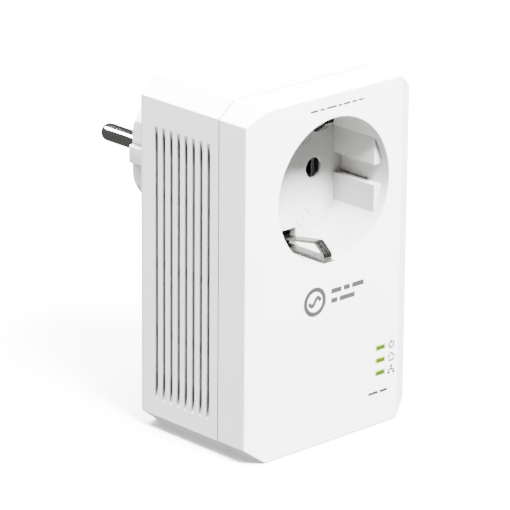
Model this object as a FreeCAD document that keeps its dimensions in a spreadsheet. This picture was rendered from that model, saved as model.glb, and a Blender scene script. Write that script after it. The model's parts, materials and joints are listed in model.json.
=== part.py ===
import FreeCAD, Part
import math
import os
import re
import Sketcher

# Powerline adapter with a pass-through mains socket, in millimetres.
#
# Every sub-part is drawn in one local frame: X across the width, Y from the front face (Y = 0)
# towards the wall, Z up from the bottom end (Z = 0). One shared placement then moves all of them
# along Y, so that the origin is under the middle of the overall depth, on the bottom end.

DIMENSIONS = {
    # body envelope
    "body_width": 57.2,
    "body_height": 94,
    "body_depth": 42.3,
    "corner_across": 5.2,
    "corner_drop": 4,
    "strip_width": 4.7,
    "strip_fall": 2.3,
    "edge_round": 0.4,
    "rear_round": 1.5,
    "body_wall": 2,
    "face_thickness": 2.6,
    "seam_depth": 12.2,
    "seam_gap": 0.3,
    "tongue_reach": 2.4,
    "tongue_wall": 1.2,
    "tongue_play": 0.15,
    # side vents
    "vent_width": 1.2,
    "vent_pitch": 2.8,
    "vent_first_depth": 16,
    "vent_bottom": 8.6,
    "vent_top": 83,
    "vent_runout": 9,
    "vent_cut_depth": 2.6,
    "bridge_size": 1.2,
    # socket and plug, which share one axis
    "mains_axis_height": 68,
    "pin_spacing": 19,
    "socket_radius": 19.5,
    "socket_depth": 17.5,
    "socket_floor": 2.2,
    "well_wall": 3,
    "pin_hole_radius": 2.75,
    "pin_hole_lip": 0.8,
    "pin_relief_radius": 4.2,
    "guide_flat": 16.7,
    "guide_gap": 5.5,
    "guide_reach": 10.3,
    "plug_pin_radius": 2.4,
    "plug_pin_length": 19,
    "plug_pin_tip": 2.04,
    "plug_pin_core_radius": 2.1,
    "plug_base_radius": 18.5,
    "plug_base_length": 16.3,
    "plug_flat": 16.4,
    "plug_rib_width": 4.4,
    "plug_flange_radius": 20,
    "plug_flange": 3.4,
    "mains_play": 0.05,
    "earth_hole_offset": 10,
    "earth_hole_radius": 2.45,
    "earth_sleeve_wall": 0.55,
    "earth_sleeve_floor": 1,
    "earth_sleeve_setback": 0.5,
    # socket earth clips: the nose is where the front turns inwards, the crown is the innermost bend
    "clip_width": 2.8,
    "clip_metal": 0.6,
    "clip_front": 2,
    "clip_back": 19.9,
    "clip_outer_reach": 19.2,
    "clip_root_reach": 16.9,
    "clip_nose_reach": 17.4,
    "clip_crown_depth": 5.4,
    "clip_crown_reach": 14.6,
    "clip_bend": 1.8,
    "clip_heel_bend": 0.9,
    "clip_slot_width": 6.6,
    "clip_slot_inner": 14.8,
    "clip_channel_width": 4.2,
    "clip_channel_reach": 21.4,
    "clip_channel_front": 1.6,
    # earth path between the socket and the plug
    "strap_metal": 0.8,
    "strap_width": 5,
    "strap_depth": 20,
    "yoke_depth": 35.9,
    "arm_inner_reach": 15.2,
    "arm_groove_play": 0.3,
    "arm_setback": 1,
    "earth_post_radius": 1.2,
    # live and neutral path between the socket and the plug
    "fork_gap": 4.4,
    "fork_metal": 0.6,
    "fork_height": 6,
    "fork_front": 21.4,
    "fork_base": 34,
    "bar_width": 5,
    "bar_metal": 0.8,
    "bar_foot_drop": 4,
    "rivet_radius": 1.5,
    "rivet_head_radius": 1.9,
    "rivet_head": 0.8,
    "carrier_depth": 30.4,
    "carrier_metal": 2.4,
    "carrier_width": 37,
    "carrier_height": 28,
    "carrier_post_radius": 1.4,
    "carrier_post_across": 15.6,
    "carrier_post_rise": 11.4,
    # case screws and the bosses that they hold together
    "screw_across": 22,
    "screw_rise": 7,
    "screw_radius": 1.25,
    "screw_head_radius": 2.6,
    "screw_head": 2,
    "screw_tip_depth": 4.5,
    "boss_radius": 2.8,
    "boss_end": 12.9,
    "tube_radius": 3.6,
    "tube_end": 13,
    "seat_depth": 15.2,
    "head_hole_radius": 2.9,
    # network jack
    "jack_width": 16,
    "jack_front": 10,
    "jack_back": 23.2,
    "jack_length": 15.4,
    "jack_inset": 0.3,
    "jack_play": 0.12,
    "jack_mouth_width": 11.8,
    "jack_mouth_front": 11.6,
    "jack_mouth_back": 19.3,
    "jack_mouth_length": 13.2,
    "latch_wide": 6.2,
    "latch_wide_back": 20.8,
    "latch_slim": 3.4,
    "latch_slim_back": 22.2,
    "wire_pitch": 1.02,
    "wire_size": 0.4,
    "wire_length": 10.6,
    "wire_start": 2,
    "wire_lean": 11,
    # pair button and its switch
    "button_across": -15.3,
    "button_depth": 16.8,
    "button_radius": 2.6,
    "button_play": 0.15,
    "button_face": 0.3,
    "button_top": 3.4,
    "button_stem_radius": 1.3,
    "button_stem_top": 4.9,
    "button_flange_radius": 3.4,
    "button_flange_bottom": 2.1,
    "button_flange": 0.8,
    "button_dish_radius": 3.7,
    "button_dish": 0.6,
    "plunger_radius": 1.7,
    "plunger_bottom": 4.95,
    "plunger_top": 7.4,
    "plunger_play": 0.08,
    "switch_width": 6.2,
    "switch_bottom": 6.1,
    "switch_height": 4,
    "switch_bore_top": 8.3,
    "switch_foot": 0.8,
    # light pipe and its lamps
    "lamp_across": 17.6,
    "lamp_rise": 14.4,
    "lamp_pitch": 3.5,
    "window_width": 3.6,
    "window_height": 1.5,
    "window_play": 0.06,
    "pipe_back": 22.2,
    "pipe_bar_depth": 1.6,
    "pipe_bar_margin": 1,
    # boards
    "board_width": 50,
    "board_bottom": 2.8,
    "board_top": 44,
    "board_thickness": 1.6,
    "main_board_front": 23.3,
    "mains_board_front": 36.4,
    "board_notch": 4.1,
    "sheet_front": 25.4,
    "sheet_thickness": 0.3,
    "sheet_inset": 1,
    "sheet_window_play": 0.5,
    # what the board-mounted pieces are made of
    "sink_plate": 1.5,
    "fin_thickness": 1,
    "winding_width": 10.6,
    "winding_height": 8.4,
    "winding_play": 0.3,
    "winding_setback": 1,
    "can_gap": 0.6,
    # rear label
    "label_width": 40,
    "label_height": 30,
    "label_bottom": 9,
    "label_thickness": 0.12,
    "label_recess": 0.2,
    "label_play": 0.25,
}

# Board-mounted pieces: centre across, centre height, width, height and thickness off the board.
BOARD_PIECES = {
    "network_transformer": (0, 20.5, 14, 7, 5),
    "main_chip": (-2, 33, 12, 12, 1.2),
    "diode": (17.6, 14.4, 1.6, 1.2, 0.8),
    "sink": (-2, 33, 15, 15, 6),
    "flyback": (-5, 17, 16, 15, 9.6),
    "bulk_capacitor": (15.2, 20, 8, 15, 8),
    "film_capacitor": (-20.4, 20, 6, 13, 9),
    "choke": (-17, 35, 11, 11, 4.5),
    "varistor": (-3.5, 34, 9, 3.6, 9),
    "fuse": (4.5, 34, 4, 4, 8),
    "coupler": (16, 35.5, 9.5, 9, 8),
    "header": (22.6, 34.2, 2.5, 10, 11.5),
}
BOARD_PIECE_FIELDS = ("across", "rise", "width", "height", "thickness")

# Depths along Y that several sub-parts share, as sheet expressions.
FRONT_SHIFT = "-(body_depth + plug_base_length + plug_pin_length)/2"
COVER_END = "seam_depth - seam_gap/2"
REAR_START = "seam_depth + seam_gap/2"
REAR_INNER = "body_depth - body_wall"
FLOOR_BACK = "socket_depth + socket_floor"
BASE_END = "body_depth + plug_base_length"
YOKE_BACK = "yoke_depth + strap_metal"
FLANGE_FRONT = "body_depth - body_wall - plug_flange"
BAR_FRONT = "fork_base + bar_metal + mains_play"
SIDES = ((-1, "left"), (1, "right"))
VENTS_A_SIDE = 8
BRIDGE_SHARES = (0.25, 0.5, 0.75)
JACK_WIRES = 8
LAMPS = 3
SINK_FINS = 6

# How far a cutting tool runs past what it cuts, and the slack when edges are picked by place.
OVERRUN = 1

doc = FreeCAD.newDocument("PowerlineAdapter")
sheet = doc.addObject("Spreadsheet::Sheet", "Dims")
for piece, numbers in BOARD_PIECES.items():
    for field, number in zip(BOARD_PIECE_FIELDS, numbers):
        DIMENSIONS[f"{piece}_{field}"] = number
for row, (alias, number) in enumerate(DIMENSIONS.items(), start=1):
    sheet.set(f"A{row}", alias)
    sheet.set(f"B{row}", str(number))
    sheet.setAlias(f"B{row}", alias)
doc.recompute()

nodes = []
own_depth = {}


def bound(text):
    """The expression with every alias turned into a reference to the sheet."""
    return re.sub(r"[a-z_]+", lambda word: "Dims." + word[0] if word[0] in DIMENSIONS else word[0], str(text))


def value(text):
    """The number that an expression gives now."""
    return float(sheet.evalExpression(bound(text)))


def publish(shape, label):
    """Make an object a node: give it its file's name and the shared shift along Y."""
    shape.Label = label
    depth = own_depth.get(shape.Name, "0")
    shape.setExpression("Placement.Base.y", bound(f"({depth}) + {FRONT_SHIFT}"))
    nodes.append(shape)
    return shape


# ---- Part primitives -------------------------------------------------------------------------

def put(shape, at):
    """Bind a primitive's place to the sheet."""
    for axis, text in zip("xyz", at):
        shape.setExpression(f"Placement.Base.{axis}", bound(text))
    own_depth[shape.Name] = at[1]
    return shape


def box(name, size, at):
    """A box with its lowest corner at a place."""
    shape = doc.addObject("Part::Box", name)
    for side, text in zip(("Length", "Width", "Height"), size):
        shape.setExpression(side, bound(text))
    return put(shape, at)


def rod(name, radius, length, at, along="y"):
    """A cylinder that starts at a place and runs along an axis."""
    shape = doc.addObject("Part::Cylinder", name)
    shape.setExpression("Radius", bound(radius))
    shape.setExpression("Height", bound(length))
    turn = {"x": ((0, 1, 0), 90), "y": ((1, 0, 0), -90), "z": ((0, 0, 1), 0)}[along]
    shape.Placement.Rotation = FreeCAD.Rotation(FreeCAD.Vector(*turn[0]), turn[1])
    return put(shape, at)


def fuse(name, shapes):
    """One solid from overlapping or touching shapes."""
    joined = doc.addObject("Part::MultiFuse", name)
    joined.Shapes = shapes
    return joined


def cut(name, base, tools):
    """A shape with one or more tools taken out."""
    result = doc.addObject("Part::Cut", name)
    result.Base = base
    result.Tool = tools[0] if len(tools) == 1 else fuse(name + "Tools", tools)
    return result


def group(name, shapes):
    """Separate solids that share one node."""
    together = doc.addObject("Part::Compound", name)
    together.Links = shapes
    return together


# ---- PartDesign ------------------------------------------------------------------------------

def new_body(name):
    """An empty body that becomes a node under its own name."""
    body = doc.addObject("PartDesign::Body", name)
    return publish(body, name)


def sketch_on(body, name, plane, offset="0"):
    """A sketch on an origin plane of its body, moved by an offset along the plane's own axis."""
    support = next(item for item in body.Origin.OriginFeatures if item.Role == plane + "_Plane")
    sketch = body.newObject("Sketcher::SketchObject", name)
    sketch.AttachmentSupport = [(support, "")]
    sketch.MapMode = "FlatFace"
    sign = "-" if plane == "XZ" else ""
    sketch.setExpression("AttachmentOffset.Base.z", bound(f"{sign}({offset})"))
    return sketch


def pin(sketch, geometry, vertex, across, up):
    """Hold a point of a sketch at a place given by two expressions."""
    for kind, text in (("DistanceX", across), ("DistanceY", up)):
        rule = Sketcher.Constraint(kind, -1, 1, geometry, vertex, value(text))
        index = sketch.addConstraint(rule)
        sketch.setExpression(f"Constraints[{index}]", bound(text))


def polygon(sketch, corners):
    """A closed outline through corners, each pinned by its own two expressions."""
    first = sketch.GeometryCount
    points = [FreeCAD.Vector(value(across), value(up), 0) for across, up in corners]
    for start, end in zip(points, points[1:] + points[:1]):
        sketch.addGeometry(Part.LineSegment(start, end), False)
    for index, (across, up) in enumerate(corners):
        before = first + (index - 1) % len(corners)
        sketch.addConstraint(Sketcher.Constraint("Coincident", before, 2, first + index, 1))
        pin(sketch, first + index, 1, across, up)


def rectangle(sketch, low, high):
    """An upright rectangle between two corners."""
    polygon(sketch, [low, (high[0], low[1]), high, (low[0], high[1])])


def circle(sketch, across, up, radius):
    """A circle with a pinned centre and a bound radius."""
    centre = FreeCAD.Vector(value(across), value(up), 0)
    index = sketch.addGeometry(Part.Circle(centre, FreeCAD.Vector(0, 0, 1), value(radius)), False)
    pin(sketch, index, 3, across, up)
    rule = sketch.addConstraint(Sketcher.Constraint("Radius", index, value(radius)))
    sketch.setExpression(f"Constraints[{rule}]", bound(radius))


def extrude(body, kind, sketch, length, backwards=False, midplane=False):
    """Pad or pocket a sketch by a bound length."""
    feature = body.newObject("PartDesign::" + kind, sketch.Name + kind)
    feature.Profile = sketch
    feature.setExpression("Length", bound(length))
    feature.Reversed = backwards
    feature.Midplane = midplane
    sketch.Visibility = False
    return feature


def pad(body, sketch, length, **options):
    """Add material along the sketch's normal."""
    return extrude(body, "Pad", sketch, length, **options)


def pad_deeper(body, sketch, length):
    """Add material from an XZ sketch towards the wall, which is against that plane's normal."""
    return extrude(body, "Pad", sketch, length, backwards=True)


def pocket(body, sketch, length, **options):
    """Take material out against the sketch's normal."""
    return extrude(body, "Pocket", sketch, length, **options)


def repeat(body, feature, direction, pitch, count):
    """A linear pattern along one of the body's origin axes, made the body's tip."""
    axis = next(item for item in body.Origin.OriginFeatures if item.Role == direction + "_Axis")
    pattern = body.newObject("PartDesign::LinearPattern", feature.Name + "Repeat")
    pattern.Originals = [feature]
    pattern.Direction = (axis, [""])
    pattern.Mode = "Spacing"
    pattern.setExpression("Offset", bound(pitch))
    pattern.Occurrences = count
    body.Tip = pattern
    return pattern


def round_edges(body, name, radius, chosen):
    """Fillet the edges of the body's tip that a test chooses by their bounding box."""
    doc.recompute()
    base = body.Tip
    edges = [f"Edge{index}" for index, edge in enumerate(base.Shape.Edges, 1) if chosen(edge.BoundBox)]
    feature = body.newObject("PartDesign::Fillet", name)
    feature.Base = (base, edges)
    feature.setExpression("Radius", bound(radius))
    return feature


def hollow_between_sides(body, name, thickness):
    """Leave only a wall of the tip between its two flat X sides, which are opened."""
    doc.recompute()
    base = body.Tip
    span = base.Shape.BoundBox
    sides = [f"Face{index}" for index, face in enumerate(base.Shape.Faces, 1)
             if face.BoundBox.XLength < OVERRUN and abs(face.BoundBox.Center.x) > span.XMax / 2]
    feature = body.newObject("PartDesign::Thickness", name)
    feature.Base = (base, sides)
    feature.setExpression("Value", bound(thickness))
    feature.Reversed = True
    return feature


def outline(inset):
    """The body's eight-cornered front outline, moved inwards by an inset."""
    half = f"(body_width/2 - ({inset}))"
    low = f"({inset})"
    high = f"(body_height - ({inset}))"
    spare = "(corner_across + corner_drop - sqrt(corner_across^2 + corner_drop^2))"
    across = f"(corner_across - {spare}/corner_drop*({inset}))"
    drop = f"(corner_drop - {spare}/corner_across*({inset}))"
    return [
        (f"-{half} + {across}", low),
        (f"{half} - {across}", low),
        (half, f"{low} + {drop}"),
        (half, f"{high} - {drop}"),
        (f"{half} - {across}", high),
        (f"-{half} + {across}", high),
        (f"-{half}", f"{high} - {drop}"),
        (f"-{half}", f"{low} + {drop}"),
    ]


def screw_places():
    """Across and height expressions of the four case screws."""
    return [(f"{side}*screw_across", rise) for side, _ in SIDES
            for rise in ("screw_rise", "body_height - screw_rise")]


def lamp_heights():
    """Height expressions of the three lamps."""
    return [f"lamp_rise + {index}*lamp_pitch" for index in range(LAMPS)]


def pin_places():
    """Across and height expressions of the two mains pins."""
    return [(f"{side}*pin_spacing/2", "mains_axis_height") for side, _ in SIDES]


# ---- Case ------------------------------------------------------------------------------------

def front_cover():
    """The front shell: face with the socket opening, lamp windows and screw bosses."""
    body = new_body("front_cover")
    block = sketch_on(body, "CoverOutline", "XZ")
    polygon(block, outline("0"))
    pad_deeper(body, block, COVER_END)

    strips = sketch_on(body, "CoverStrips", "XY")
    for side, _ in SIDES:
        inner = f"{side}*(body_width/2 - strip_width)"
        edge = f"{side}*body_width/2"
        beyond = f"{side}*(body_width/2 + {OVERRUN})"
        polygon(strips, [(inner, "0"), (edge, "strip_fall"), (beyond, "strip_fall"),
                         (beyond, f"-{OVERRUN}"), (inner, f"-{OVERRUN}")])
    pocket(body, strips, "body_height", backwards=True)
    seam = value(COVER_END)
    round_edges(body, "CoverEdges", "edge_round", lambda span: span.YMin < seam - OVERRUN)

    hollow = sketch_on(body, "CoverHollow", "XZ", "face_thickness")
    polygon(hollow, outline("body_wall"))
    pocket(body, hollow, "seam_depth")

    bosses = sketch_on(body, "CoverBosses", "XZ", "face_thickness")
    for across, rise in screw_places():
        circle(bosses, across, rise, "boss_radius")
    pad_deeper(body, bosses, "boss_end - face_thickness")
    pilots = sketch_on(body, "CoverPilots", "XZ", "screw_tip_depth - mains_play")
    for across, rise in screw_places():
        circle(pilots, across, rise, "screw_radius + mains_play")
    pocket(body, pilots, "boss_end")

    openings = sketch_on(body, "CoverOpenings", "XZ")
    circle(openings, "0", "mains_axis_height", "socket_radius")
    for rise in lamp_heights():
        rectangle(openings, ("lamp_across - window_width/2", f"{rise} - window_height/2"),
                  ("lamp_across + window_width/2", f"{rise} + window_height/2"))
    pocket(body, openings, "face_thickness")

    channels = sketch_on(body, "CoverClipChannels", "XZ", "clip_channel_front")
    rectangle(channels, ("-clip_channel_width/2", "mains_axis_height - clip_channel_reach"),
              ("clip_channel_width/2", "mains_axis_height + clip_channel_reach"))
    pocket(body, channels, "face_thickness - clip_channel_front")

    jack_notch = sketch_on(body, "CoverJackNotch", "XY")
    rectangle(jack_notch, ("-jack_width/2 - jack_play", "jack_front - jack_play"),
              ("jack_width/2 + jack_play", "seam_depth"))
    pocket(body, jack_notch, "body_wall", backwards=True)
    return body


def rear_housing():
    """The rear shell: vented side walls, jack and button openings, plug opening and screw tubes."""
    body = new_body("rear_housing")
    block = sketch_on(body, "RearOutline", "XZ", REAR_START)
    polygon(block, outline("0"))
    pad_deeper(body, block, f"body_depth - ({REAR_START})")
    round_edges(body, "RearEdges", "rear_round", lambda span: span.YMin > value("body_depth") - OVERRUN)

    hollow = sketch_on(body, "RearHollow", "XZ", REAR_START)
    polygon(hollow, outline("body_wall"))
    pocket(body, hollow, f"{REAR_INNER} - ({REAR_START})")

    root_depth = f"({REAR_START}) + tongue_reach"
    inner_inset = "body_wall + tongue_play + tongue_wall"
    root = sketch_on(body, "TongueRoot", "XZ", REAR_START)
    polygon(root, outline("body_wall - tongue_play"))
    polygon(root, outline(inner_inset))
    pad_deeper(body, root, "tongue_reach")
    tongue = sketch_on(body, "Tongue", "XZ", f"({REAR_START}) - tongue_reach")
    polygon(tongue, outline("body_wall + tongue_play"))
    polygon(tongue, outline(inner_inset))
    pad_deeper(body, tongue, f"{root_depth} - ({REAR_START})")

    vent = sketch_on(body, "Vent", "XZ", "vent_first_depth - vent_width/2")
    for side, _ in SIDES:
        skin = f"{side}*(body_width/2 + mains_play)"
        deep = f"{side}*(body_width/2 - vent_cut_depth)"
        polygon(vent, [(skin, "vent_bottom"), (deep, "vent_bottom + vent_runout"),
                       (deep, "vent_top - vent_runout"), (skin, "vent_top")])
    repeat(body, pocket(body, vent, "vent_width"), "Y", "vent_pitch", VENTS_A_SIDE)

    bridges = sketch_on(body, "VentBridges", "XZ", "seam_depth + tongue_reach")
    for side, _ in SIDES:
        for share in BRIDGE_SHARES:
            rise = f"(vent_bottom + {share}*(vent_top - vent_bottom))"
            rectangle(bridges, (f"{side}*(body_width/2 - body_wall + mains_play)", f"{rise} - bridge_size/2"),
                      (f"{side}*(body_width/2 - body_wall - bridge_size)", f"{rise} + bridge_size/2"))
    pad_deeper(body, bridges, f"{REAR_INNER} - seam_depth - tongue_reach")

    tubes = sketch_on(body, "ScrewTubes", "XZ", "tube_end")
    heads = sketch_on(body, "ScrewHeadHoles", "XZ", "seat_depth")
    shanks = sketch_on(body, "ScrewShankHoles", "XZ", "tube_end")
    for across, rise in screw_places():
        circle(tubes, across, rise, "tube_radius")
        circle(heads, across, rise, "head_hole_radius")
        circle(shanks, across, rise, "screw_radius + 3*mains_play")
    pad_deeper(body, tubes, "body_depth - body_wall/2 - tube_end")
    pocket(body, heads, "body_depth")
    pocket(body, shanks, "body_depth")

    plug_hole = sketch_on(body, "PlugHole", "XZ", f"{REAR_INNER} - {OVERRUN}")
    circle(plug_hole, "0", "mains_axis_height", "plug_base_radius + 2*mains_play")
    pocket(body, plug_hole, f"body_wall + 2*{OVERRUN}")

    label_bed = sketch_on(body, "LabelBed", "XZ", "body_depth - label_recess")
    rectangle(label_bed, ("-label_width/2 - label_play", "label_bottom - label_play"),
              ("label_width/2 + label_play", "label_bottom + label_height + label_play"))
    pocket(body, label_bed, "body_depth")

    jack_notch = sketch_on(body, "RearJackNotch", "XY")
    rectangle(jack_notch, ("-jack_width/2 - jack_play", f"seam_depth - 2*tongue_reach"),
              ("jack_width/2 + jack_play", "jack_back + jack_play"))
    pocket(body, jack_notch, inner_inset + f" + {OVERRUN}", backwards=True)

    dish = sketch_on(body, "ButtonDish", "XY")
    circle(dish, "button_across", "button_depth", "button_dish_radius")
    pocket(body, dish, "button_dish", backwards=True)
    hole = sketch_on(body, "ButtonHole", "XY")
    circle(hole, "button_across", "button_depth", "button_radius + button_play")
    pocket(body, hole, "body_wall", backwards=True)
    relief = sketch_on(body, "ButtonRelief", "XY", "body_wall")
    circle(relief, "button_across", "button_depth", "button_flange_radius + 2*button_play")
    pocket(body, relief, "tongue_wall + button_play + tongue_play", backwards=True)
    return body


def case_screws():
    """Four self-tapping screws, from the rear tubes into the front cover's bosses."""
    screws = []
    for index, (across, rise) in enumerate(screw_places()):
        seat = "seat_depth + mains_play"
        head = rod(f"ScrewHead{index}", "screw_head_radius", "screw_head", (across, seat, rise))
        drive = rod(f"ScrewDrive{index}", "screw_radius", "screw_head/2",
                    (across, f"{seat} + screw_head/2", rise))
        shank = rod(f"ScrewShank{index}", "screw_radius", f"{seat} - screw_tip_depth + {OVERRUN}/2",
                    (across, "screw_tip_depth", rise))
        screws.append(fuse(f"Screw{index}", [cut(f"ScrewTop{index}", head, [drive]), shank]))
    return publish(group("CaseScrews", screws), "case_screws")


def rear_label():
    """A blank self-adhesive label in its shallow bed on the rear face, under the plug."""
    label = box("RearLabel", ("label_width", "label_thickness", "label_height"),
                ("-label_width/2", "body_depth - label_recess", "label_bottom"))
    return publish(label, "rear_label")


# ---- Socket ----------------------------------------------------------------------------------

def socket_well():
    """The round socket recess with its guide blocks, pin holes and earth clip channels."""
    body = new_body("socket_well")
    cup = sketch_on(body, "WellCup", "XZ", "face_thickness")
    circle(cup, "0", "mains_axis_height", "socket_radius + well_wall")
    pad_deeper(body, cup, f"{FLOOR_BACK} - face_thickness")
    recess = sketch_on(body, "WellRecess", "XZ", "face_thickness")
    circle(recess, "0", "mains_axis_height", "socket_radius")
    pocket(body, recess, "socket_depth - face_thickness")

    guides = sketch_on(body, "WellGuides", "XZ", "face_thickness")
    for side, _ in SIDES:
        for way in (-1, 1):
            near = f"mains_axis_height + {way}*guide_gap/2"
            end = f"mains_axis_height + {way}*guide_reach"
            rectangle(guides, (f"{side}*guide_flat", near), (f"{side}*socket_radius", end))
    pad_deeper(body, guides, "socket_depth - face_thickness")

    holes = sketch_on(body, "WellPinHoles", "XZ", f"socket_depth - {OVERRUN}")
    for across, rise in pin_places():
        circle(holes, across, rise, "pin_hole_radius")
    pocket(body, holes, f"socket_floor + 2*{OVERRUN}")
    reliefs = sketch_on(body, "WellPinReliefs", "XZ", "socket_depth + pin_hole_lip")
    for across, rise in pin_places():
        circle(reliefs, across, rise, "pin_relief_radius")
    pocket(body, reliefs, "socket_floor")

    for way, name in ((-1, "Lower"), (1, "Upper")):
        channel = sketch_on(body, f"Well{name}Channel", "XZ", "face_thickness")
        start = f"mains_axis_height + {way}*(socket_radius - {OVERRUN})"
        rectangle(channel, ("-clip_channel_width/2", start),
                  ("clip_channel_width/2", f"mains_axis_height + {way}*clip_channel_reach"))
        pocket(body, channel, FLOOR_BACK)
        slot = sketch_on(body, f"Well{name}Slot", "XZ", f"socket_depth - {OVERRUN}")
        rectangle(slot, ("-clip_slot_width/2", f"mains_axis_height + {way}*clip_slot_inner"),
                  ("clip_slot_width/2", f"mains_axis_height + {way}*socket_radius"))
        pocket(body, slot, f"socket_floor + 2*{OVERRUN}")

    posts = sketch_on(body, "WellPosts", "XZ", f"{FLOOR_BACK} - {OVERRUN}")
    for side, _ in SIDES:
        for way in (-1, 1):
            circle(posts, f"{side}*carrier_post_across",
                   f"mains_axis_height + {way}*carrier_post_rise", "carrier_post_radius")
    pad_deeper(body, posts, f"carrier_depth + carrier_metal - ({FLOOR_BACK}) + {OVERRUN}")
    return body


def earth_clip(name, way):
    """A bent strip loop: a sprung leg inside, a rounded front and a flat leg by the wall."""
    body = new_body(name)

    def reach(alias):
        return f"mains_axis_height + {way}*{alias}"

    loop = sketch_on(body, name + "_loop", "YZ")
    polygon(loop, [("clip_back", reach("clip_root_reach")), ("clip_crown_depth", reach("clip_crown_reach")),
                   ("clip_front", reach("clip_nose_reach")), ("clip_front", reach("clip_outer_reach")),
                   ("clip_back", reach("clip_outer_reach"))])
    pad(body, loop, "clip_width", midplane=True)

    def bend_at(depth, height):
        place = (value(depth), value(reach(height)))
        return lambda span: (span.XLength > OVERRUN
                             and math.dist(place, (span.Center.y, span.Center.z)) < OVERRUN / 2)

    round_edges(body, name + "_crown", "clip_bend", bend_at("clip_crown_depth", "clip_crown_reach"))
    round_edges(body, name + "_nose", "clip_bend", bend_at("clip_front", "clip_nose_reach"))
    round_edges(body, name + "_heel", "clip_heel_bend", bend_at("clip_front", "clip_outer_reach"))
    hollow_between_sides(body, name + "_strip", "clip_metal")
    return body


def earth_strap():
    """The bar behind the recess floor that joins both earth clips."""
    bar = box("StrapBar", ("strap_width", "strap_metal", "2*clip_outer_reach"),
              ("-strap_width/2", "strap_depth", "mains_axis_height - clip_outer_reach"))
    return publish(bar, "earth_strap")


def socket_contact(side, name):
    """A forked spring contact behind one pin hole, riveted to the plug pin on the same axis."""
    body = new_body(f"socket_contact_{name}")
    centre = f"{side}*pin_spacing/2"
    inner = "fork_gap/2"
    outer = "(fork_gap/2 + fork_metal)"
    fork = sketch_on(body, f"Fork{name}", "XY", "mains_axis_height - fork_height/2")
    polygon(fork, [(f"{centre} - {outer}", "fork_front"), (f"{centre} - {inner}", "fork_front"),
                   (f"{centre} - {inner}", "fork_base"), (f"{centre} + {inner}", "fork_base"),
                   (f"{centre} + {inner}", "fork_front"), (f"{centre} + {outer}", "fork_front"),
                   (f"{centre} + {outer}", "fork_base + bar_metal"),
                   (f"{centre} - {outer}", "fork_base + bar_metal")])
    pad(body, fork, "fork_height")
    hole = sketch_on(body, f"ForkHole{name}", "XZ", "fork_base - mains_play")
    circle(hole, centre, "mains_axis_height", "rivet_radius + mains_play")
    pocket(body, hole, "2*bar_metal")
    return body


def contact_carrier():
    """The insulating plate on four posts that holds both forked contacts in place."""
    plate = box("CarrierPlate", ("carrier_width", "carrier_metal", "carrier_height"),
                ("-carrier_width/2", "carrier_depth", "mains_axis_height - carrier_height/2"))
    tools = []
    through = f"carrier_metal + 2*{OVERRUN}"
    start = f"carrier_depth - {OVERRUN}"
    for side, name in SIDES:
        window = "(fork_gap + 2*fork_metal + 4*mains_play)"
        tools.append(box(f"CarrierWindow{name}", (window, through, "fork_height + 4*mains_play"),
                         (f"{side}*pin_spacing/2 - {window}/2", start,
                          "mains_axis_height - fork_height/2 - 2*mains_play")))
        for way in (-1, 1):
            tools.append(rod(f"CarrierHole{name}{way + 1}", "carrier_post_radius + mains_play", through,
                             (f"{side}*carrier_post_across", start,
                              f"mains_axis_height + {way}*carrier_post_rise")))
    tools.append(rod("CarrierEarthHole", "earth_post_radius + mains_play", through,
                     ("0", start, "mains_axis_height")))
    return publish(cut("ContactCarrier", plate, tools), "contact_carrier")


# ---- Plug ------------------------------------------------------------------------------------

def plug_base():
    """The round plug body: side flats with a rib, earth grooves, and bores for pins and sleeve."""
    body = new_body("plug_base")
    disc = sketch_on(body, "BaseDisc", "XZ", "body_depth - body_wall - mains_play")
    circle(disc, "0", "mains_axis_height", "plug_base_radius")
    pad_deeper(body, disc, "plug_base_length + body_wall + mains_play")
    tip = value(BASE_END)
    round_edges(body, "BaseRim", "rear_round", lambda span: span.YMin > tip - OVERRUN)
    flange = sketch_on(body, "BaseFlange", "XZ", FLANGE_FRONT)
    circle(flange, "0", "mains_axis_height", "plug_flange_radius")
    pad_deeper(body, flange, "plug_flange - mains_play")

    flats = sketch_on(body, "BaseFlats", "XZ", "body_depth")
    for side, _ in SIDES:
        for way in (-1, 1):
            rectangle(flats, (f"{side}*plug_flat", f"mains_axis_height + {way}*plug_rib_width/2"),
                      (f"{side}*(plug_base_radius + {OVERRUN})", f"mains_axis_height + {way}*guide_reach"))
    pocket(body, flats, f"plug_base_length + {OVERRUN}")

    grooves = sketch_on(body, "BaseEarthGrooves", "XZ", f"{FLANGE_FRONT} - {OVERRUN}")
    half_groove = "(strap_width/2 + arm_groove_play)"
    for way in (-1, 1):
        rectangle(grooves, (f"-{half_groove}", f"mains_axis_height + {way}*arm_inner_reach"),
                  (half_groove, f"mains_axis_height + {way}*(plug_flange_radius + {OVERRUN})"))
    pocket(body, grooves, f"{BASE_END}")

    bores = sketch_on(body, "BaseBores", "XZ", f"{FLANGE_FRONT} - {OVERRUN}")
    for across, rise in pin_places():
        circle(bores, across, rise, "plug_pin_core_radius + mains_play")
    circle(bores, "0", "mains_axis_height + earth_hole_offset",
           "earth_hole_radius + earth_sleeve_wall + mains_play")
    pocket(body, bores, f"{BASE_END}")
    return body


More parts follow.
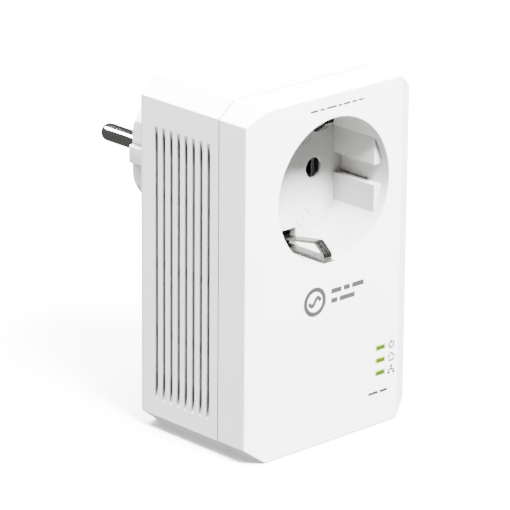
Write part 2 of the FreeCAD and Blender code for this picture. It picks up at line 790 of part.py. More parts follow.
def plug_pin(side, name):
    """A round plug pin with a domed tip, a slimmer core inside the base and a riveted tail."""
    body = new_body(f"plug_pin_{name}")
    centre = f"{side}*pin_spacing/2"
    shoulder = f"({BAR_FRONT} + bar_metal + mains_play)"
    shank = sketch_on(body, f"PinShank{name}", "XZ", BASE_END)
    circle(shank, centre, "mains_axis_height", "plug_pin_radius")
    pad_deeper(body, shank, "plug_pin_length")
    tip = value(f"{BASE_END} + plug_pin_length")
    round_edges(body, f"PinTip{name}", "plug_pin_tip", lambda span: span.YMin > tip - OVERRUN)
    core = sketch_on(body, f"PinCore{name}", "XZ", shoulder)
    circle(core, centre, "mains_axis_height", "plug_pin_core_radius")
    pad_deeper(body, core, f"{BASE_END} - {shoulder}")
    head_front = "fork_base - mains_play - rivet_head"
    tail = sketch_on(body, f"PinTail{name}", "XZ", head_front)
    circle(tail, centre, "mains_axis_height", "rivet_radius")
    pad_deeper(body, tail, f"{shoulder} - ({head_front})")
    head = sketch_on(body, f"PinRivet{name}", "XZ", head_front)
    circle(head, centre, "mains_axis_height", "rivet_head_radius")
    pad_deeper(body, head, "rivet_head")
    return body


def busbar(side, name):
    """The strip that takes one pole from its rivet down to the mains board."""
    centre = f"{side}*pin_spacing/2"
    foot_height = "(board_top - bar_foot_drop)"
    corner = (f"{centre} - bar_width/2", BAR_FRONT, foot_height)
    strip_height = f"mains_axis_height + bar_width/2 - {foot_height}"
    strip = box(f"BarStrip{name}", ("bar_width", "bar_metal", strip_height), corner)
    foot = box(f"BarFoot{name}", ("bar_width", f"mains_board_front - ({BAR_FRONT})", "bar_metal"), corner)
    hole = rod(f"BarHole{name}", "rivet_radius + mains_play", "2*bar_metal",
               (centre, f"{BAR_FRONT} - mains_play", "mains_axis_height"))
    bar = cut(f"Bar{name}", fuse(f"BarSolid{name}", [strip, foot]), [hole])
    return publish(bar, f"busbar_{name}")


def plug_earth_yoke():
    """The plate across the plug base with its two side contact arms."""
    plate = box("YokePlate", ("strap_width", "strap_metal", "2*(arm_inner_reach + strap_metal)"),
                ("-strap_width/2", "yoke_depth", "mains_axis_height - arm_inner_reach - strap_metal"))
    arm_length = f"{BASE_END} - yoke_depth - arm_setback"
    arms = []
    for index, low in enumerate(("-arm_inner_reach - strap_metal", "arm_inner_reach")):
        arms.append(box(f"YokeArm{index}", ("strap_width", arm_length, "strap_metal"),
                        ("-strap_width/2", "yoke_depth", f"mains_axis_height + {low}")))
    return publish(fuse("EarthYoke", [plate] + arms), "plug_earth_yoke")


def plug_earth_sleeve():
    """The tube in the plug base that takes a fixed earth pin."""
    rise = "mains_axis_height + earth_hole_offset"
    length = f"{BASE_END} - ({YOKE_BACK}) - earth_sleeve_setback"
    outside = rod("SleeveOutside", "earth_hole_radius + earth_sleeve_wall", length, ("0", YOKE_BACK, rise))
    inside = rod("SleeveInside", "earth_hole_radius", length,
                 ("0", f"{YOKE_BACK} + earth_sleeve_floor", rise))
    return publish(cut("EarthSleeve", outside, [inside]), "plug_earth_sleeve")


def earth_post():
    """The post that carries the earth from the socket's strap back to the plug's yoke."""
    post = rod("EarthPost", "earth_post_radius", "yoke_depth - strap_depth - strap_metal",
               ("0", "strap_depth + strap_metal", "mains_axis_height"))
    return publish(post, "earth_post")


# ---- Network jack, pair button and lamps -----------------------------------------------------

def jack_housing():
    """The moulded network jack, open at the bottom end, with a stepped latch slot."""
    body = new_body("jack_housing")
    block = sketch_on(body, "JackBlock", "XY", "jack_inset")
    rectangle(block, ("-jack_width/2", "jack_front"), ("jack_width/2", "jack_back"))
    pad(body, block, "jack_length")
    mouth = sketch_on(body, "JackMouth", "XY", "jack_inset")
    polygon(mouth, [("-jack_mouth_width/2", "jack_mouth_front"), ("jack_mouth_width/2", "jack_mouth_front"),
                    ("jack_mouth_width/2", "jack_mouth_back"), ("latch_wide/2", "jack_mouth_back"),
                    ("latch_wide/2", "latch_wide_back"), ("latch_slim/2", "latch_wide_back"),
                    ("latch_slim/2", "latch_slim_back"), ("-latch_slim/2", "latch_slim_back"),
                    ("-latch_slim/2", "latch_wide_back"), ("-latch_wide/2", "latch_wide_back"),
                    ("-latch_wide/2", "jack_mouth_back"), ("-jack_mouth_width/2", "jack_mouth_back")])
    pocket(body, mouth, "jack_mouth_length", backwards=True)
    return body


def jack_contacts():
    """Eight sprung wires that lean across the front side of the jack's mouth."""
    wires = []
    for index in range(JACK_WIRES):
        place = index - (JACK_WIRES - 1) / 2
        wire = box(f"JackWire{index}", ("wire_size", "wire_size", "wire_length"),
                   (f"{place}*wire_pitch - wire_size/2", "jack_mouth_front + wire_size/2",
                    "jack_inset + wire_start"))
        wire.Placement.Rotation = FreeCAD.Rotation(FreeCAD.Vector(1, 0, 0), -value("wire_lean"))
        wires.append(wire)
    return publish(group("JackWires", wires), "jack_contacts")


def pair_button():
    """The button cap: a round face, a retaining flange and a stem to the switch."""
    face = rod("ButtonFace", "button_radius", "button_top - button_face",
               ("button_across", "button_depth", "button_face"), along="z")
    flange = rod("ButtonFlange", "button_flange_radius", "button_flange",
                 ("button_across", "button_depth", "button_flange_bottom"), along="z")
    stem = rod("ButtonStem", "button_stem_radius", "button_stem_top - button_top",
               ("button_across", "button_depth", "button_top"), along="z")
    return publish(fuse("PairButton", [face, flange, stem]), "pair_button")


def switch_body():
    """The case of the right-angle push switch behind the pair button, with its two feet."""
    case = box("SwitchCase", ("switch_width", "switch_width", "switch_height"),
               ("button_across - switch_width/2", "button_depth - switch_width/2", "switch_bottom"))
    bore = rod("SwitchBore", "plunger_radius + plunger_play", f"switch_bore_top - switch_bottom + {OVERRUN}",
               ("button_across", "button_depth", f"switch_bottom - {OVERRUN}"), along="z")
    foot_start = "button_depth + switch_width/2"
    foot_length = f"main_board_front - ({foot_start})"
    foot_height = "switch_bottom + switch_height/2"
    feet = []
    for side, name in SIDES:
        feet.append(box(f"SwitchFoot{name}", ("switch_foot", foot_length, "switch_foot"),
                        (f"button_across + {side}*switch_width/3", foot_start, foot_height)))
    return publish(fuse("SwitchBody", [cut("SwitchHollow", case, [bore])] + feet), "switch_body")


def switch_plunger():
    """The switch's own plunger, which the button's stem pushes."""
    plunger = rod("SwitchPlunger", "plunger_radius", "plunger_top - plunger_bottom",
                  ("button_across", "button_depth", "plunger_bottom"), along="z")
    return publish(plunger, "switch_plunger")


def light_pipe():
    """Three clear arms from the lamps to the face, joined by a bar behind the face."""
    wide = "(window_width - 2*window_play)"
    high = "(window_height - 2*window_play)"
    arms = []
    for index, rise in enumerate(lamp_heights()):
        arms.append(box(f"PipeArm{index}", (wide, "pipe_back", high),
                        (f"lamp_across - {wide}/2", "0", f"{rise} - {high}/2")))
    bar = box("PipeBar", (f"{wide} + 2*pipe_bar_margin", "pipe_bar_depth",
                          f"{LAMPS - 1}*lamp_pitch + {high} + 2*pipe_bar_margin"),
              (f"lamp_across - {wide}/2 - pipe_bar_margin", "face_thickness + window_play",
               f"lamp_rise - {high}/2 - pipe_bar_margin"))
    return publish(fuse("LightPipe", arms + [bar]), "light_pipe")


def diodes():
    """Three light-emitting diodes on the main board, one behind each arm of the light pipe."""
    chips = [board_piece("diode", "main_board_front", f"Diode{index}", "lamp_across", rise)
             for index, rise in enumerate(lamp_heights())]
    return publish(group("Diodes", chips), "diodes")


# ---- Boards and what is on them --------------------------------------------------------------

def tube_notches(name, front):
    """Square tools that clear both lower screw tubes at a board's corners."""
    notches = []
    for side, side_name in SIDES:
        inner = "(screw_across - board_notch)"
        start = {"left": "-board_width", "right": inner}[side_name]
        notches.append(box(f"{name}Notch{side_name}", (f"board_width - {inner}", "3*board_thickness",
                                                       "screw_rise + board_notch"),
                           (start, f"{front} - board_thickness", "0")))
    return notches


def board(name, label, front):
    """A circuit board with its lower corners notched round the screw tubes."""
    plate = box(name + "Plate", ("board_width", "board_thickness", "board_top - board_bottom"),
                ("-board_width/2", front, "board_bottom"))
    return publish(cut(name, plate, tube_notches(name, front)), label)


def insulation_sheet():
    """The thin sheet that keeps the mains board away from the main board."""
    sheet_plate = box("SheetPlate", ("board_width - 2*sheet_inset", "sheet_thickness",
                                     "board_top - board_bottom - 2*sheet_inset"),
                      ("-board_width/2 + sheet_inset", "sheet_front", "board_bottom + sheet_inset"))
    window = box("SheetWindow", ("header_width + 2*sheet_window_play", "3*board_thickness",
                                 "header_height + 2*sheet_window_play"),
                 ("header_across - header_width/2 - sheet_window_play", "sheet_front - board_thickness",
                  "header_rise - header_height/2 - sheet_window_play"))
    tools = tube_notches("Sheet", "sheet_front") + [window]
    return publish(cut("InsulationSheet", sheet_plate, tools), "insulation_sheet")


def board_piece(piece, board_front, name=None, across=None, rise=None):
    """A block on the front side of a board, from its row in the sheet."""
    across = across or f"{piece}_across"
    rise = rise or f"{piece}_rise"
    size = (f"{piece}_width", f"{piece}_thickness", f"{piece}_height")
    corner = (f"{across} - {piece}_width/2", f"{board_front} - {piece}_thickness",
              f"{rise} - {piece}_height/2")
    return box(name or piece.title().replace("_", ""), size, corner)


def heat_sink():
    """A finned sink on the main chip."""
    chip_front = "(main_board_front - main_chip_thickness)"
    left = "sink_across - sink_width/2"
    bottom = "sink_rise - sink_height/2"
    pieces = [box("SinkPlate", ("sink_width", "sink_plate", "sink_height"),
                  (left, f"{chip_front} - sink_plate", bottom))]
    for index in range(SINK_FINS):
        across = f"{left} + {index}*(sink_width - fin_thickness)/{SINK_FINS - 1}"
        pieces.append(box(f"SinkFin{index}", ("fin_thickness", "sink_thickness", "sink_height"),
                          (across, f"{chip_front} - sink_thickness", bottom)))
    return publish(fuse("HeatSink", pieces), "heat_sink")


def flyback():
    """The supply's transformer: a ferrite core and the wound bobbin inside it."""
    front = "(mains_board_front - flyback_thickness)"
    block = board_piece("flyback", "mains_board_front", "FlybackBlock")
    width = "(winding_width + 2*winding_play)"
    height = "(winding_height + 2*winding_play)"
    window = box("FlybackWindow", (width, f"flyback_thickness + 2*{OVERRUN}", height),
                 (f"flyback_across - {width}/2", f"{front} - {OVERRUN}", f"flyback_rise - {height}/2"))
    publish(cut("FlybackCore", block, [window]), "flyback_core")
    depth = "flyback_thickness - winding_setback"
    winding = box("FlybackWinding", ("winding_width", depth, "winding_height"),
                  ("flyback_across - winding_width/2", f"{front} + winding_setback",
                   "flyback_rise - winding_height/2"))
    return publish(winding, "flyback_winding")


def bulk_capacitors():
    """Two can capacitors that lie on the mains board."""
    cans = []
    for side, name in SIDES:
        across = f"bulk_capacitor_across + {side}*(bulk_capacitor_width + can_gap)/2"
        cans.append(rod(f"BulkCan{name}", "bulk_capacitor_width/2", "bulk_capacitor_height",
                        (across, "mains_board_front - bulk_capacitor_width/2",
                         "bulk_capacitor_rise - bulk_capacitor_height/2"), along="z"))
    return publish(group("BulkCapacitors", cans), "bulk_capacitors")


def choke():
    """The ring-shaped line choke, flat on the mains board."""
    ring = doc.addObject("Part::Torus", "ChokeRing")
    ring.setExpression("Radius1", bound("choke_width/2 - choke_thickness/2"))
    ring.setExpression("Radius2", bound("choke_thickness/2"))
    ring.Placement.Rotation = FreeCAD.Rotation(FreeCAD.Vector(1, 0, 0), -90)
    put(ring, ("choke_across", "mains_board_front - choke_thickness/2", "choke_rise"))
    return publish(ring, "line_choke")


def round_board_piece(piece, label, along):
    """A disc or can on the mains board, as wide as its row in the sheet says."""
    radius = f"{piece}_width/2"
    middle = f"mains_board_front - {piece}_thickness/2"
    start = {
        "y": (f"{piece}_across", f"mains_board_front - {piece}_thickness", f"{piece}_rise"),
        "z": (f"{piece}_across", middle, f"{piece}_rise - {piece}_height/2"),
    }[along]
    length = f"{piece}_thickness" if along == "y" else f"{piece}_height"
    return publish(rod(label.title().replace("_", ""), radius, length, start, along), label)


def electronics():
    """Both boards, the sheet between them and every board-mounted piece."""
    board("MainBoard", "main_board", "main_board_front")
    board("MainsBoard", "mains_board", "mains_board_front")
    insulation_sheet()
    publish(board_piece("network_transformer", "main_board_front"), "network_transformer")
    publish(board_piece("main_chip", "main_board_front"), "main_chip")
    heat_sink()
    flyback()
    bulk_capacitors()
    publish(board_piece("film_capacitor", "mains_board_front"), "film_capacitor")
    choke()
    round_board_piece("varistor", "varistor", "z")
    round_board_piece("fuse", "fuse", "y")
    publish(board_piece("coupler", "mains_board_front"), "coupling_transformer")
    publish(board_piece("header", "mains_board_front"), "board_header")


def check_and_export():
    """Stop on any failed object or bad shape, then write one STEP file for each node."""
    doc.recompute()
    for item in doc.Objects:
        if "Invalid" in item.State or "Error" in item.State:
            raise RuntimeError(f"{item.Name} failed: {item.State}")
    for node in nodes:
        if node.Shape.isNull() or not node.Shape.isValid() or not node.Shape.Solids:
            raise RuntimeError(f"{node.Label} has no valid solid")
    os.makedirs("parts", exist_ok=True)
    for node in nodes:
        node.Shape.exportStep(f"parts/{node.Label}.step")
        span = node.Shape.BoundBox
        print(f"{node.Label}: {len(node.Shape.Solids)} solid(s), volume {node.Shape.Volume:.1f}, "
              f"x {span.XMin:.2f}..{span.XMax:.2f}, y {span.YMin:.2f}..{span.YMax:.2f}, "
              f"z {span.ZMin:.2f}..{span.ZMax:.2f}")


front_cover()
rear_housing()
case_screws()
rear_label()
socket_well()
earth_clip("earth_clip_lower", -1)
earth_clip("earth_clip_upper", 1)
earth_strap()
contact_carrier()
plug_base()
plug_earth_yoke()
plug_earth_sleeve()
earth_post()
for side, name in SIDES:
    socket_contact(side, name)
    plug_pin(side, name)
    busbar(side, name)
jack_housing()
jack_contacts()
pair_button()
switch_body()
switch_plunger()
light_pipe()
diodes()
electronics()
check_and_export()
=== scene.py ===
import json
import math

import bmesh
import bpy
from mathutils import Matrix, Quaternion, Vector


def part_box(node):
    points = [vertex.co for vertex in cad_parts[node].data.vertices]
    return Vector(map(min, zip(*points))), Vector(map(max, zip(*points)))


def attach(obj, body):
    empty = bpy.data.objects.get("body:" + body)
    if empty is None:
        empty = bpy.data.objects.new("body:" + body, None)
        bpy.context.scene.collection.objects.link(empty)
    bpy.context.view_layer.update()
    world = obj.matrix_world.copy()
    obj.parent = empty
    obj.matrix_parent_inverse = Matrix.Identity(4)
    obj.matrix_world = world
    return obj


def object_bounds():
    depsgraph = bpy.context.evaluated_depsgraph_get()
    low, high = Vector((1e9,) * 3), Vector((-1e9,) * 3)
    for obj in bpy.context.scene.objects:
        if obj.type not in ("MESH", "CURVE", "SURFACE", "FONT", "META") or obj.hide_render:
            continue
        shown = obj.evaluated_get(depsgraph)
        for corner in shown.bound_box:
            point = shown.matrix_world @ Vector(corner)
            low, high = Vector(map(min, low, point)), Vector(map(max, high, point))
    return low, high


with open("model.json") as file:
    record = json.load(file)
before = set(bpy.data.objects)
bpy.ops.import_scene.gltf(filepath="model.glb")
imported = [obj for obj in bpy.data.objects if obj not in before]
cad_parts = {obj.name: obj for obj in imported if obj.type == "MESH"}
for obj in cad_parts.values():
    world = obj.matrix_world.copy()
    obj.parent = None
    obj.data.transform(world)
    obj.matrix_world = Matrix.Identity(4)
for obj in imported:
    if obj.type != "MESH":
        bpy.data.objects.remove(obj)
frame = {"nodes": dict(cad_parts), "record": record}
cad_box = [list(corner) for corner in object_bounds()]

# A powerline adapter standing on its bottom end, on a pale floor, with printed and moulded marks.
# Lengths are in metres, except where a comment says millimetres.

MM = 0.001

# The camera: sensor and lens in millimetres, angles in degrees, its distance from the middle of
# the case, and the point it aims at as shares of the object's depth and height.
SENSOR = 36.0
VIEW_LENS = 270.0
VIEW_AZIMUTH = -43.55
VIEW_ELEVATION = 19.13
VIEW_ROLL = 0.45
VIEW_DISTANCE = 0.9888
AIM_DEPTH_SHARE = 0.376
AIM_HEIGHT_SHARE = 0.461

# How far printed and moulded marks stand proud, and the steps in a quarter turn of anything round.
PRINT_LIFT = 0.02 * MM
MOULD_LIFT = 0.12 * MM
ROUND_STEPS = 12

# Heights of the bump in a surface, the radius of softened metal edges, and plastic's specular level.
CLOUD_HEIGHT = 0.01 * MM
GRAIN_HEIGHT = 0.003 * MM
STREAK_HEIGHT = 0.002 * MM
RIB_HEIGHT = 0.02 * MM
METAL_EDGE = 0.1 * MM
PLASTIC_SPECULAR = 0.35

SLOT_OF = {row["node"]: row["material_slot"] for row in frame["record"]["subparts"]}


def corners(node):
    """The lowest and highest corner of a CAD node, as vectors in metres."""
    low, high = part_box(node)
    return Vector(low), Vector(high)


COVER_LOW, COVER_HIGH = corners("front_cover")
WELL_LOW, WELL_HIGH = corners("socket_well")
PIPE_LOW, PIPE_HIGH = corners("light_pipe")
BUTTON_LOW, BUTTON_HIGH = corners("pair_button")
LABEL_LOW, LABEL_HIGH = corners("rear_label")

FRONT = COVER_LOW.y
BACK = corners("rear_housing")[1].y
CASE_MIDDLE = Vector((0, (FRONT + BACK) / 2, COVER_HIGH.z / 2))

# The socket: its axis, its floor, and the zone that holds the walls of the cover's opening and of
# the clip channels beside it, which starts just behind the front face. That zone is painted with
# the socket's darker grey and its painted shade.
SOCKET_RISE = (WELL_LOW.z + WELL_HIGH.z) / 2
SOCKET_DEPTH = 17.5 * MM
OPENING_START = 0.05 * MM
OPENING_REACH = 22.5 * MM
OPENING_DEPTH = 2.9 * MM
OPENING_MIDDLE = (0, FRONT + OPENING_START + OPENING_DEPTH / 2, SOCKET_RISE)

# In millimetres: the lamp windows, at the ends of the light pipe's three arms, and their signs.
LAMP_PITCH = 3.5
LAMP_MIDDLE = (PIPE_LOW + PIPE_HIGH) / 2 / MM
LAMP_UPS = [LAMP_MIDDLE.z + LAMP_PITCH * step for step in (-1, 0, 1)]
LAMP_CORE = (2.9, 1.0)
SIGN_ACROSS = LAMP_MIDDLE.x + 4.0
SIGN_STROKE = 0.42


# ---- Node materials --------------------------------------------------------------------------

class Nodes:
    """Adds and links shader nodes in one new material."""

    def __init__(self, name):
        self.material = bpy.data.materials.new(name + "_look")
        self.material.use_nodes = True
        self.tree = self.material.node_tree
        self.shader = self.tree.nodes["Principled BSDF"]
        self.place = self.add("ShaderNodeTexCoord").outputs["Object"]

    def add(self, kind, **settings):
        """A new node with some of its settings changed."""
        node = self.tree.nodes.new(kind)
        for key, setting in settings.items():
            setattr(node, key, setting)
        return node

    def link(self, source, target):
        self.tree.links.new(source, target)

    def noise(self, scale, detail=3.0, rough=0.5, stretch=(1, 1, 1)):
        """Noise over object space, with features about 1/scale metres wide."""
        mapping = self.add("ShaderNodeMapping")
        mapping.inputs["Scale"].default_value = stretch
        self.link(self.place, mapping.inputs["Vector"])
        node = self.add("ShaderNodeTexNoise")
        node.inputs["Scale"].default_value = scale
        node.inputs["Detail"].default_value = detail
        node.inputs["Roughness"].default_value = rough
        self.link(mapping.outputs["Vector"], node.inputs["Vector"])
        return node.outputs["Fac"]

    def ribs(self, pitch, along):
        """Fine parallel ribs across one axis."""
        node = self.add("ShaderNodeTexWave", wave_type="BANDS", bands_direction=along)
        node.inputs["Scale"].default_value = math.pi / (10 * pitch)
        self.link(self.place, node.inputs["Vector"])
        return node.outputs["Fac"]

    def spread(self, value, low, high, start=0.3, end=0.7):
        """Map part of a 0 to 1 value onto a range."""
        node = self.add("ShaderNodeMapRange")
        node.inputs["From Min"].default_value = start
        node.inputs["From Max"].default_value = end
        node.inputs["To Min"].default_value = low
        node.inputs["To Max"].default_value = high
        self.link(value, node.inputs["Value"])
        return node.outputs["Result"]

    def mix(self, factor, first, second):
        """A colour between two colours, each a constant or another node's output."""
        node = self.add("ShaderNodeMix", data_type="RGBA")
        self.link(factor, node.inputs["Factor"])
        for name, colour in (("A", first), ("B", second)):
            if isinstance(colour, tuple):
                node.inputs[name].default_value = colour
            else:
                self.link(colour, node.inputs[name])
        return node.outputs["Result"]

    def darken_with_shade(self, paint, painted_shade):
        """The paint, darkened by painted shade in slots, corners and hollows, taken from ambient occlusion,
        or unchanged if none is given.

        The painted shade is its reach in millimetres, its colour, the openness below which it covers the
        paint and the openness above which it is gone."""
        if not painted_shade:
            return paint
        reach, dark, full, gone = painted_shade
        node = self.add("ShaderNodeAmbientOcclusion", samples=8)
        node.inputs["Distance"].default_value = reach * MM
        return self.mix(self.spread(node.outputs["AO"], 0.0, 1.0, full, gone), rgba(dark), paint)

    def maths(self, operation, *values):
        """The result of one operation on values, each a number or another node's output."""
        node = self.add("ShaderNodeMath", operation=operation)
        for socket, value in zip(node.inputs, values):
            if isinstance(value, (int, float)):
                socket.default_value = value
            else:
                self.link(value, socket)
        return node.outputs["Value"]

    def shade_the_opening(self, paint, opening_shade):
        """The paint, with painted shade on the walls of the front cover's socket opening: the socket's
        darker grey and its own painted shade.
        """
        shift = self.add("ShaderNodeVectorMath", operation="SUBTRACT")
        self.link(self.place, shift.inputs[0])
        shift.inputs[1].default_value = OPENING_MIDDLE
        split = self.add("ShaderNodeSeparateXYZ")
        self.link(shift.outputs["Vector"], split.inputs["Vector"])
        across = self.maths("POWER", split.outputs["X"], 2)
        up = self.maths("POWER", split.outputs["Z"], 2)
        near = self.maths("LESS_THAN", self.maths("ADD", across, up), OPENING_REACH ** 2)
        depth = self.maths("ABSOLUTE", split.outputs["Y"])
        inside = self.maths("LESS_THAN", depth, OPENING_DEPTH / 2)
        return self.mix(self.maths("MULTIPLY", near, inside), paint, opening_shade)

    def bump(self, heights, edge_radius):
        """Softened edges, then bump from (value, height in metres) pairs, one on another."""
        edge = self.add("ShaderNodeBevel", samples=4)
        edge.inputs["Radius"].default_value = edge_radius
        normal = edge.outputs["Normal"]
        for value, height in heights:
            node = self.add("ShaderNodeBump")
            node.inputs["Strength"].default_value = 1.0
            node.inputs["Distance"].default_value = height
            self.link(value, node.inputs["Height"])
            self.link(normal, node.inputs["Normal"])
            normal = node.outputs["Normal"]
        self.link(normal, self.shader.inputs["Normal"])


def rgba(colour):
    """An opaque colour with its alpha."""
    return (*colour, 1.0)


def plastic(name, colour, shade, rough, edge=0.25, painted_shade=None, opening_shade=None):
    """Moulded plastic: fine spark-eroded grain, faint flow clouds, uneven gloss, soft edges, and where
    given, painted shade in slots and hollows.

    The radius of the edges is in millimetres. The colour and painted shade for the walls of the
    socket opening are a darker grey painted there as shade."""
    nodes = Nodes(name)
    clouds = nodes.noise(scale=45, detail=4)
    grain = nodes.noise(scale=2600, detail=2, rough=0.6)
    scuffs = nodes.noise(scale=350, detail=6, rough=0.7, stretch=(1, 1, 0.25))
    paint = nodes.mix(nodes.spread(clouds, 0.0, 1.0), rgba(colour), rgba(shade))
    paint = nodes.darken_with_shade(paint, painted_shade)
    if opening_shade:
        paint = nodes.shade_the_opening(paint, nodes.darken_with_shade(rgba(opening_shade[0]), opening_shade[1]))
    nodes.link(paint, nodes.shader.inputs["Base Color"])
    gloss = nodes.spread(scuffs, low=rough - 0.05, high=rough + 0.1)
    nodes.link(gloss, nodes.shader.inputs["Roughness"])
    nodes.shader.inputs["Specular IOR Level"].default_value = PLASTIC_SPECULAR
    nodes.bump([(clouds, CLOUD_HEIGHT), (grain, GRAIN_HEIGHT)], edge * MM)
    return nodes.material


def metal(name, colour, shade, rough, streak=(1, 1, 1), ribs=None, painted_shade=None):
    """Plated metal: fine drawing streaks, faint stain clouds, soft edges, and painted shade in enclosed
    places where given.

    Ribs are given by their pitch in millimetres, and follow one another along the depth."""
    nodes = Nodes(name)
    streaks = nodes.noise(scale=900, detail=3, stretch=streak)
    clouds = nodes.noise(scale=220, detail=4)
    paint = nodes.mix(nodes.spread(clouds, 0.0, 1.0), rgba(colour), rgba(shade))
    nodes.link(nodes.darken_with_shade(paint, painted_shade), nodes.shader.inputs["Base Color"])
    gloss = nodes.spread(streaks, low=rough * 0.6, high=rough * 1.5)
    nodes.link(gloss, nodes.shader.inputs["Roughness"])
    nodes.shader.inputs["Metallic"].default_value = 1.0
    heights = [(streaks, STREAK_HEIGHT)]
    if ribs:
        heights.append((nodes.ribs(ribs * MM, "Y"), RIB_HEIGHT))
    nodes.bump(heights, METAL_EDGE)
    return nodes.material


def make_materials():
    """One material for each slot of the record, one for all print and one for the lamp cores.

    Each painted shade darkens slots, hollows and enclosed parts from ambient occlusion; its values are
    its reach in millimetres, its colour, the openness below which it covers the paint and the
    openness above which it is gone."""
    white = (0.66, 0.66, 0.655)
    shade = (0.64, 0.64, 0.632)
    # The socket's darker grey is painted shade for its deep recess.
    socket = (0.42, 0.42, 0.413)
    # Painted shade from ambient occlusion: in slots and seams, in the socket's recess, inside the jack, and
    # on parts enclosed in the case.
    slot_painted_shade = (2.0, (0.05, 0.05, 0.047), 0.35, 0.95)
    socket_painted_shade = (8.0, (0.26, 0.255, 0.25), 0.0, 0.7)
    jack_painted_shade = (9.0, (0.05, 0.045, 0.04), 0.25, 0.95)
    inner_painted_shade = (12.0, (0.006, 0.006, 0.006), 0.5, 1.0)
    made = [
        # The case's white gets the socket's darker grey and its painted shade on the walls of the cover's
        # opening.
        plastic("case_white", white, shade, 0.45, painted_shade=slot_painted_shade, opening_shade=(socket, socket_painted_shade)),
        plastic("socket_white", socket, (0.40, 0.40, 0.393), 0.38, edge=0.08, painted_shade=socket_painted_shade),
        plastic("plug_white", (0.66, 0.66, 0.65), (0.64, 0.64, 0.63), 0.38, painted_shade=slot_painted_shade),
        # The carrier's near-black colour is painted shade for the inside seen through the slots.
        plastic("carrier_white", (0.06, 0.06, 0.058), (0.05, 0.05, 0.048), 0.5, painted_shade=inner_painted_shade),
        plastic("jack_white", (0.66, 0.66, 0.65), (0.64, 0.64, 0.63), 0.35, painted_shade=jack_painted_shade),
        plastic("button_white", (0.76, 0.71, 0.70), (0.74, 0.68, 0.67), 0.3),
        plastic("label_grey", (0.60, 0.60, 0.60), (0.57, 0.57, 0.57), 0.45, edge=0.02),
        plastic("mark_grey", (0.018, 0.018, 0.017), (0.026, 0.026, 0.025), 0.7, edge=0.01),
        plastic("black_parts", (0.02, 0.02, 0.022), (0.03, 0.03, 0.032), 0.5),
        plastic("film_black", (0.02, 0.02, 0.02), (0.03, 0.03, 0.03), 0.4, edge=0.05),
        plastic("lamp_green", (0.26, 0.42, 0.05), (0.24, 0.40, 0.04), 0.25, edge=0.1),
        plastic("lamp_core", (0.022, 0.055, 0.003), (0.030, 0.058, 0.003), 0.3, edge=0.1),
        plastic("diode_yellow", (0.8, 0.8, 0.4), (0.7, 0.7, 0.3), 0.3),
        plastic("board_green", (0.02, 0.12, 0.05), (0.03, 0.15, 0.06), 0.35, painted_shade=inner_painted_shade),
        plastic("ferrite", (0.03, 0.03, 0.03), (0.045, 0.045, 0.045), 0.6),
        plastic("winding_yellow", (0.55, 0.38, 0.05), (0.50, 0.33, 0.04), 0.4),
        plastic("capacitor_black", (0.02, 0.02, 0.04), (0.03, 0.03, 0.05), 0.3),
        plastic("film_capacitor_yellow", (0.55, 0.38, 0.04), (0.50, 0.34, 0.03), 0.3),
        plastic("varistor_blue", (0.03, 0.08, 0.3), (0.04, 0.1, 0.35), 0.3),
        metal("steel_screws", (0.55, 0.55, 0.56), (0.45, 0.45, 0.46), 0.35),
        # The clip's nickel is far darker than the pins' nickel: painted dark reflections.
        metal("nickel_clip", (0.12, 0.118, 0.11), (0.085, 0.083, 0.078), 0.24, streak=(8, 1, 1), ribs=0.45),
        metal("nickel_pin", (0.80, 0.78, 0.75), (0.74, 0.72, 0.69), 0.09, streak=(1, 0.2, 1)),
        metal("brass_inner", (0.30, 0.21, 0.08), (0.24, 0.16, 0.06), 0.5, painted_shade=inner_painted_shade),
        metal("gold_wires", (0.80, 0.58, 0.22), (0.70, 0.50, 0.18), 0.2),
        metal("sink_aluminium", (0.5, 0.5, 0.52), (0.45, 0.45, 0.47), 0.35),
    ]
    return {material.name.removesuffix("_look"): material for material in made}


MATERIALS = make_materials()
for node_name, node_object in frame["nodes"].items():
    node_object.data.materials.clear()
    node_object.data.materials.append(MATERIALS[SLOT_OF[node_name]])


# ---- Printed and moulded marks ---------------------------------------------------------------

